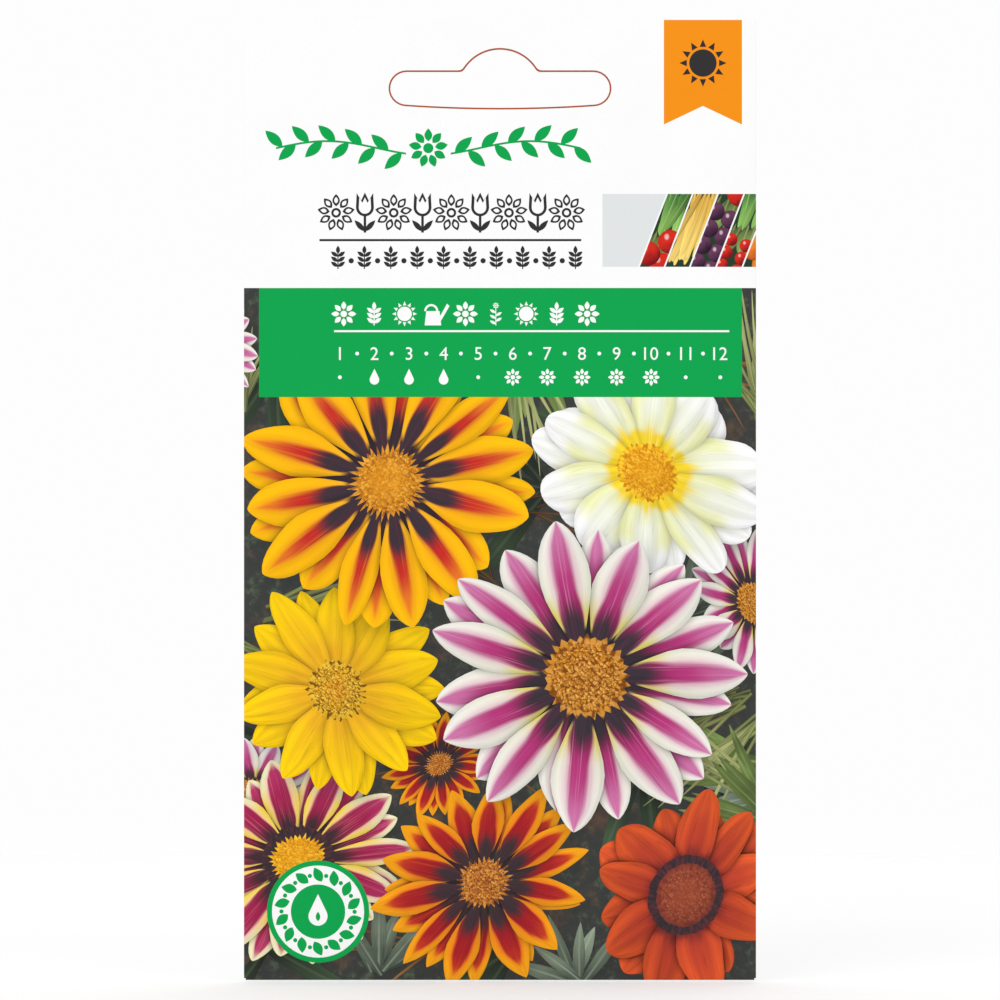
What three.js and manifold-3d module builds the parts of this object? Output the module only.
// A filled seed packet, hanging by its display slot.
//
// One sheet of coated paper is folded into the packet: a front panel, two back wings that lap in a
// centre seam, and a bottom flap that is folded up behind the wings and glued to them. The head is
// glued shut and punched with a display-hook slot. Inside stands a heat-sealed foil sachet of two
// webs, and the seeds lie in it, over its bottom seal.
//
// Millimetres, +Z up. The front faces -Y and the width runs along X. The origin is the top of the
// slot's hump, in the middle of the head's thickness, where a display hook carries the packet.

import * as THREE from "three";
import { mergeVertices } from "three/addons/utils/BufferGeometryUtils.js";
import Module from "manifold-3d";

// ---- driving dimensions ----------------------------------------------------------------------

const PACKET_WIDTH = 80;
const PACKET_HEIGHT = 150;
const HEAD_HEIGHT = 18; // glued flat, above the filled body
const PAPER = 0.13; // thickness of the sheet
const GLUE = 0.05; // thickness of an adhesive film
const AIR = 0.01; // between a film and the paper, on each side of it

const SLOT_WIDTH = 34.3; // over its round ends
const SLOT_HEIGHT = 5.1; // at its round ends
const SLOT_TOP = -3.5; // upper edge at the round ends, below the hump's top
const SLOT_SAG = 0.5; // how far the lower edge dips in the middle
const HUMP_RADIUS = 6.57; // the raised arc that centres the hook
const HUMP_FILLET = 0.6; // where the hump meets the upper edge
const PAPER_ABOVE_SLOT = 4.64;

const LAP = 12; // width over which the wings overlap in the centre seam
const LAP_RAMP = 2; // over which the outer wing steps down beside the inner wing's edge
const SEAM_GLUE_INSET = 1; // from each edge of the lap
const HEAD_GLUE_INSET = 0.9; // from the head's edges
const FLAP_HEIGHT = 12;
const FLAP_WIDTH = 77; // at the bottom fold
const FLAP_TAPER = 2; // lost on each side at the flap's free edge
const FLAP_GLUE_WIDTH = 70;
const FOLD_DROP = 0.25; // half the depth of the bottom fold, to the middle of the sheet
const FOLD_STEPS = 4; // facets round each fold

const BELLY = 2.0; // how far each side of the filled packet swells
const BELLY_ROUNDNESS = 2.4; // power of the cross-section
const BELLY_LOWNESS = 0.55; // under 1 moves the fullest height towards the seeds at the bottom
const BELLY_SHARPNESS = 1.3;
const BELLY_AT_FOLD = 0.14; // share of the swelling that is left at the bottom fold

const FOIL = 0.08;
const SACHET_WIDTH = 64;
const SACHET_HEIGHT = 90;
const SACHET_SEAL = 5; // width of the heat seal all round
const SACHET_SLOPE = 6; // over which a web leaves the seal
const SACHET_LIFT = 1.16; // bottom of the sachet above the bottom of the packet
const SACHET_ROOM = 0.2; // between the foil and the paper

const SEED_LENGTH = 4.2; // with its tuft
const SEED_RADIUS = 0.9; // at the tuft's widest
const SEED_SIDES = 8;
const SEED_COUNT = 36;
const SEED_CLEARANCE = 0.12; // between a seed and whatever it lies against
const SEED_LEAN = 0.8; // radians, either way from lying level
const HEAP_REACH = 19; // how far from the middle a seed may fall
const FALLS_TRIED = 8;
const SETTLING_STEP = 0.1;
const RANDOM_SEED = 11;

// ---- derived values --------------------------------------------------------------------------

const PITCH = PAPER + GLUE + 2 * AIR; // from the middle of one glued ply to the next
const TOP = PAPER_ABOVE_SLOT;
const BOTTOM = TOP - PACKET_HEIGHT;
const BODY_TOP = TOP - HEAD_HEIGHT;
const FOLD_X = PACKET_WIDTH / 2 - PITCH / 2 - PAPER / 2; // centre of each side fold
const FOLD_Z = BOTTOM + FOLD_DROP + PAPER / 2; // where the bottom fold starts to turn
const FLAP_TOP = BOTTOM + FLAP_HEIGHT;
const SACHET_BOTTOM = BOTTOM + SACHET_LIFT;
const SACHET_TOP = SACHET_BOTTOM + SACHET_HEIGHT;

const FLAP_BANDS = 4;
const BODY_BANDS = 13;
const HALF_COLUMNS = [
  LAP / 2 - SEAM_GLUE_INSET,
  LAP / 2,
  LAP / 2 + LAP_RAMP,
  13,
  20,
  28,
  FLAP_GLUE_WIDTH / 2,
  FLAP_WIDTH / 2,
  FOLD_X,
];
const PANEL_X = [...HALF_COLUMNS.map((x) => -x).reverse(), 0, ...HALF_COLUMNS];
const FLAP_Z = spread(FOLD_Z, FLAP_TOP, FLAP_BANDS);
const PANEL_Z = [...FLAP_Z, ...spread(FLAP_TOP, BODY_TOP, BODY_BANDS).slice(1), TOP];

const wasm = await Module();
wasm.setup();

// ---- materials -------------------------------------------------------------------------------

const coatedPaper = new THREE.MeshStandardMaterial({
  color: 0xf7f7f5,
  roughness: 0.45,
  metalness: 0,
});
const driedGlue = new THREE.MeshStandardMaterial({
  color: 0xe9e4cf,
  roughness: 0.5,
  metalness: 0,
});
const sachetFoil = new THREE.MeshStandardMaterial({
  color: 0xc9ccd0,
  roughness: 0.3,
  metalness: 1,
});
const seedCoat = new THREE.MeshStandardMaterial({
  color: 0x9b7b4f,
  roughness: 0.9,
  metalness: 0,
});

// ---- helpers ---------------------------------------------------------------------------------

function spread(from, to, bands) {
  return Array.from({ length: bands + 1 }, (_, k) => from + ((to - from) * k) / bands);
}

// 0 below the start, 1 past the end, and level at both.
function ease(value, start, end) {
  return THREE.MathUtils.smoothstep(value, start, end);
}

// A small repeatable generator of numbers from 0 to 1.
function seededRandom(seed) {
  let state = seed;
  return () => {
    state = (Math.imul(state, 1664525) + 1013904223) >>> 0;
    return state / 2 ** 32;
  };
}

function toSolid(geometry) {
  const bare = geometry.clone();
  for (const name of ["normal", "uv"]) bare.deleteAttribute(name);
  const merged = mergeVertices(bare, 1e-4);
  return new wasm.Manifold(
    new wasm.Mesh({
      numProp: 3,
      vertProperties: merged.attributes.position.array,
      triVerts: new Uint32Array(merged.index.array),
    }),
  );
}

function toGeometry(solid) {
  const { vertProperties, triVerts } = solid.getMesh();
  const geometry = new THREE.BufferGeometry();
  geometry.setAttribute("position", new THREE.BufferAttribute(vertProperties, 3));
  geometry.setIndex(new THREE.BufferAttribute(triVerts, 1));
  geometry.computeVertexNormals();
  return geometry;
}

// A closed sheet over a grid of cells. point(column, row, side) gives its outer face at side 1 and
// its inner face at side -1, filled(i, j) says which cells hold material, and the outer face looks
// along column direction x row direction.
function thickSheet(columns, rows, filled, point) {
  const positions = [];
  const face = (...corners) => {
    const [a, b, c, d] = corners.map(([i, j, side]) => point(columns[i], rows[j], side));
    positions.push(...a, ...b, ...c, ...a, ...c, ...d);
  };
  const holds = (i, j) =>
    i >= 0 && j >= 0 && i < columns.length - 1 && j < rows.length - 1 && filled(i, j);
  const wall = (i0, j0, i1, j1) => face([i1, j1, 1], [i0, j0, 1], [i0, j0, -1], [i1, j1, -1]);
  for (let i = 0; i < columns.length - 1; i++) {
    for (let j = 0; j < rows.length - 1; j++) {
      if (!holds(i, j)) continue;
      face([i, j, 1], [i + 1, j, 1], [i + 1, j + 1, 1], [i, j + 1, 1]);
      face([i, j, -1], [i, j + 1, -1], [i + 1, j + 1, -1], [i + 1, j, -1]);
      if (!holds(i, j - 1)) wall(i, j, i + 1, j);
      if (!holds(i + 1, j)) wall(i + 1, j, i + 1, j + 1);
      if (!holds(i, j + 1)) wall(i + 1, j + 1, i, j + 1);
      if (!holds(i - 1, j)) wall(i, j + 1, i, j);
    }
  }
  const geometry = new THREE.BufferGeometry();
  geometry.setAttribute("position", new THREE.Float32BufferAttribute(positions, 3));
  geometry.computeVertexNormals();
  return geometry;
}

// ---- form of the packet ----------------------------------------------------------------------

// How far the front and the back swell from the glued head's plies: nothing at the side folds and
// in the head, most over the seeds, and a little at the bottom fold.
function belly(x, z) {
  const up = THREE.MathUtils.clamp((z - BOTTOM) / (BODY_TOP - BOTTOM), 0, 1);
  const across = 1 - (Math.min(Math.abs(x), FOLD_X) / FOLD_X) ** BELLY_ROUNDNESS;
  const swell = Math.sin(Math.PI * up ** BELLY_LOWNESS) ** BELLY_SHARPNESS;
  return BELLY * across * (swell + BELLY_AT_FOLD * (1 - up) ** 4);
}

// The middle of a ply, that many pitches behind the inner wing.
function behind(x, z, plies) {
  return PITCH / 2 + belly(x, z) + plies * PITCH;
}

// 1 over the centre seam's lap, 0 clear of it, with a ramp between.
function lapLift(x) {
  return THREE.MathUtils.clamp(1 - (Math.abs(x) - LAP / 2) / LAP_RAMP, 0, 1);
}

// The display-hook slot: round ends, a raised hump in the middle and a slightly dipped lower edge.
function slotShape() {
  const end = SLOT_HEIGHT / 2;
  const endX = SLOT_WIDTH / 2 - end;
  const middle = SLOT_TOP - end;
  const shoulder = Math.asin((HUMP_RADIUS + SLOT_TOP) / HUMP_RADIUS);
  const shoulderX = HUMP_RADIUS * Math.cos(shoulder);
  const turn = HUMP_FILLET / HUMP_RADIUS;
  const shape = new THREE.Shape();
  shape.moveTo(endX, middle - end);
  shape.absarc(endX, middle, end, -Math.PI / 2, Math.PI / 2, false);
  shape.lineTo(shoulderX + HUMP_FILLET, SLOT_TOP);
  shape.quadraticCurveTo(
    shoulderX,
    SLOT_TOP,
    HUMP_RADIUS * Math.cos(shoulder + turn),
    HUMP_RADIUS * Math.sin(shoulder + turn) - HUMP_RADIUS,
  );
  shape.absarc(0, -HUMP_RADIUS, HUMP_RADIUS, shoulder + turn, Math.PI - shoulder - turn, false);
  shape.quadraticCurveTo(-shoulderX, SLOT_TOP, -shoulderX - HUMP_FILLET, SLOT_TOP);
  shape.lineTo(-endX, SLOT_TOP);
  shape.absarc(-endX, middle, end, Math.PI / 2, (3 * Math.PI) / 2, false);
  shape.quadraticCurveTo(0, middle - end - 2 * SLOT_SAG, endX, middle - end);
  return shape;
}

function slotCutter() {
  const depth = 10 * PITCH;
  const geometry = new THREE.ExtrudeGeometry(slotShape(), {
    depth,
    bevelEnabled: false,
    curveSegments: 10,
  });
  return geometry.translate(0, 0, -depth / 2).rotateX(Math.PI / 2);
}

function punched(geometry) {
  return toGeometry(toSolid(geometry).subtract(toSolid(slotCutter())));
}

// ---- the envelope: one folded sheet ----------------------------------------------------------

// The sheet's columns in order: inner wing from its edge, left fold, front, right fold, outer wing.
function sheetColumns() {
  const reach = LAP / 2;
  const back = (plies, xs) => xs.map((x) => ({ panel: "back", x, plies: plies(x) }));
  const fold = (sign) =>
    spread(-Math.PI / 2, Math.PI / 2, FOLD_STEPS)
      .slice(1, -1)
      .map((angle) => ({ panel: "fold", sign, angle }));
  const innerWing = PANEL_X.filter((x) => x <= reach).reverse();
  const outerWing = PANEL_X.filter((x) => x >= -reach).reverse();
  return [
    ...back(() => 0, innerWing),
    ...fold(-1).reverse(),
    ...PANEL_X.map((x) => ({ panel: "front", x })),
    ...fold(1),
    ...back((x) => (x > 0 ? lapLift(x) : 1), outerWing),
  ];
}

// The sheet's rows in order: the flap from its free edge, the bottom fold, the panels to the top.
function sheetRows() {
  const turn = spread(Math.PI, 0, FOLD_STEPS).slice(1, -1);
  return [
    ...[...FLAP_Z].reverse().map((z) => ({ part: "flap", z })),
    ...turn.map((angle) => ({ part: "fold", angle })),
    ...PANEL_Z.map((z) => ({ part: "panel", z })),
  ];
}

function panelPoint(column, z, half) {
  if (column.panel === "fold") {
    const reach = PITCH / 2 + half;
    const out = FOLD_X + reach * Math.cos(column.angle);
    return [column.sign * out, reach * Math.sin(column.angle), z];
  }
  if (column.panel === "front") {
    return [column.x, -behind(column.x, z, 0) - half, z];
  }
  return [column.x, behind(column.x, z, column.plies) + half, z];
}

function flapPoint(x, z, half) {
  const share = (z - FOLD_Z) / (FLAP_TOP - FOLD_Z);
  const inset = Math.abs(x) === FLAP_WIDTH / 2 ? FLAP_TAPER * share : 0;
  const at = x - Math.sign(x) * inset;
  return [at, behind(at, z, 1 + lapLift(x)) + half, z];
}

function bottomFoldPoint(x, angle, half) {
  const front = -behind(x, FOLD_Z, 0);
  const back = behind(x, FOLD_Z, 1 + lapLift(x));
  const y = (front + back) / 2 - ((back - front) / 2 + half) * Math.cos(angle);
  return [x, y, FOLD_Z - (FOLD_DROP + half) * Math.sin(angle)];
}

function envelope() {
  const columns = sheetColumns();
  const rows = sheetRows();
  const inFlap = ({ panel, x }) => panel === "front" && Math.abs(x) <= FLAP_WIDTH / 2;
  const filled = (i, j) =>
    rows[j].part === "panel" || (inFlap(columns[i]) && inFlap(columns[i + 1]));
  const point = (column, row, side) => {
    const half = (side * PAPER) / 2;
    if (row.part === "panel") return panelPoint(column, row.z, half);
    if (row.part === "flap") return flapPoint(column.x, row.z, half);
    return bottomFoldPoint(column.x, row.angle, half);
  };
  return punched(thickSheet(columns, rows, filled, point));
}

// ---- adhesive films --------------------------------------------------------------------------

// A film behind the inner wing, between the plies that it joins.
function film(xs, zs, plies) {
  const point = (x, z, side) => [x, behind(x, z, plies(x)) + (side * GLUE) / 2, z];
  return thickSheet([...xs].reverse(), zs, () => true, point);
}

function seamGlue() {
  const reach = LAP / 2 - SEAM_GLUE_INSET;
  const xs = PANEL_X.filter((x) => Math.abs(x) <= reach);
  const zs = PANEL_Z.filter((z) => z <= BODY_TOP);
  return film(xs, zs, () => 0.5);
}

// What the punch leaves of the seam's glue line above the slot.
function seamGlueHead() {
  const height = PAPER_ABOVE_SLOT - 2 * HEAD_GLUE_INSET;
  const block = new THREE.BoxGeometry(LAP - 2 * SEAM_GLUE_INSET, GLUE, height);
  return block.translate(0, PITCH, height / 2 + HEAD_GLUE_INSET);
}

function bottomFlapGlue() {
  const xs = PANEL_X.filter((x) => Math.abs(x) <= FLAP_GLUE_WIDTH / 2);
  return film(xs, FLAP_Z.slice(1, -1), (x) => 0.5 + lapLift(x));
}

function headerGlue() {
  const width = 2 * (FOLD_X - HEAD_GLUE_INSET);
  const height = HEAD_HEIGHT - HEAD_GLUE_INSET;
  const block = new THREE.BoxGeometry(width, GLUE, height);
  return punched(block.translate(0, 0, BODY_TOP + height / 2));
}

// ---- foil sachet -----------------------------------------------------------------------------

// How far a web stands off the plane of the seals: as much as the packet's belly leaves room for.
function dish(x, z) {
  const inside = (value, edge) => ease(edge - Math.abs(value), 0, SACHET_SLOPE);
  const middle = (SACHET_BOTTOM + SACHET_TOP) / 2;
  const acrossOpen = inside(x, SACHET_WIDTH / 2 - SACHET_SEAL);
  const upOpen = inside(z - middle, SACHET_HEIGHT / 2 - SACHET_SEAL);
  return Math.max(belly(x, z) - SACHET_ROOM, 0) * acrossOpen * upOpen;
}

// Grid lines from edge to edge: the seal, three lines down the slope, and even bands between.
function sachetLines(from, to, bands) {
  const slope = spread(SACHET_SEAL, SACHET_SEAL + SACHET_SLOPE, 3);
  const near = slope.map((inset) => from + inset);
  const far = slope.map((inset) => to - inset).reverse();
  const flat = spread(near[near.length - 1], far[0], bands).slice(1, -1);
  return [from, ...near, ...flat, ...far, to];
}

function foilWeb(sign) {
  const xs = sachetLines(-SACHET_WIDTH / 2, SACHET_WIDTH / 2, 6);
  const zs = sachetLines(SACHET_BOTTOM, SACHET_TOP, 8);
  const point = (x, z, side) => [x, sign * (dish(x, z) + (side > 0 ? FOIL : 0)), z];
  return thickSheet(sign < 0 ? xs : xs.reverse(), zs, () => true, point);
}

// ---- seeds -----------------------------------------------------------------------------------

// An achene with its tuft: pointed at the base, fullest in the upper half, waisted under the tuft.
function seedGeometry() {
  const profile = [
    [0, -0.5],
    [0.36, -0.46],
    [0.72, -0.25],
    [0.86, -0.02],
    [0.78, 0.18],
    [0.66, 0.28],
    [1, 0.48],
    [0, 0.5],
  ].map(([out, along]) => new THREE.Vector2(out * SEED_RADIUS, along * SEED_LENGTH));
  return new THREE.LatheGeometry(profile, SEED_SIDES);
}

// Points along a seed's axis that, each with the seed's radius round it, cover the seed.
function axisPoints({ x, z, angle }) {
  const base = SEED_RADIUS - SEED_LENGTH / 2;
  const tuft = SEED_LENGTH / 2 - SEED_RADIUS / 3;
  return spread(base, tuft, 6).map((along) =>
    new THREE.Vector2(x + along * Math.sin(angle), z + along * Math.cos(angle)),
  );
}

// Whether a seed has room between the webs and touches none of the others.
function fits(seed, others) {
  const own = axisPoints(seed);
  if (!own.every(({ x, y: z }) => dish(x, z) >= SEED_RADIUS + SEED_CLEARANCE)) return false;
  const room = 2 * SEED_RADIUS + SEED_CLEARANCE;
  return others.every((other) =>
    axisPoints(other).every((point) => own.every((mine) => mine.distanceTo(point) >= room)),
  );
}

// A heap: of a few ways that a seed could fall, the one that comes to rest lowest.
function placeSeeds() {
  const random = seededRandom(RANDOM_SEED);
  const placed = [];
  const drop = () => {
    const x = (random() + random() - 1) * HEAP_REACH;
    const lean = (2 * random() - 1) * SEED_LEAN;
    const angle = (random() < 0.5 ? -1 : 1) * (Math.PI / 2 + lean);
    let z = SACHET_BOTTOM + SACHET_SEAL;
    while (!fits({ x, z, angle }, placed)) z += SETTLING_STEP;
    return { x, z, angle };
  };
  while (placed.length < SEED_COUNT) {
    const falls = Array.from({ length: FALLS_TRIED }, drop);
    const lowest = falls.reduce((best, fall) => (fall.z < best.z ? fall : best));
    const room = dish(lowest.x, lowest.z) - SEED_RADIUS - SEED_CLEARANCE;
    placed.push({ ...lowest, y: (random() - 0.5) * room });
  }
  return placed;
}

function seedMesh({ x, y, z, angle }, index) {
  const mesh = new THREE.Mesh(seedGeometry(), seedCoat);
  mesh.name = `seed_${String(index + 1).padStart(2, "0")}`;
  mesh.position.set(x, y, z);
  mesh.rotation.set(Math.PI / 2, angle, 0, "YXZ");
  return mesh;
}

// ---- assembly --------------------------------------------------------------------------------

function named(name, geometry, material) {
  const mesh = new THREE.Mesh(geometry, material);
  mesh.name = name;
  return mesh;
}

const wrapper = new THREE.Group();
wrapper.add(
  named("envelope", envelope(), coatedPaper),
  named("seam_glue", seamGlue(), driedGlue),
  named("seam_glue_head", seamGlueHead(), driedGlue),
  named("bottom_flap_glue", bottomFlapGlue(), driedGlue),
  named("header_glue", headerGlue(), driedGlue),
);

const sachet = new THREE.Group();
sachet.add(
  named("foil_front", foilWeb(-1), sachetFoil),
  named("foil_back", foilWeb(1), sachetFoil),
  ...placeSeeds().map(seedMesh),
);

const group = new THREE.Group();
group.add(wrapper, sachet);

export default group;
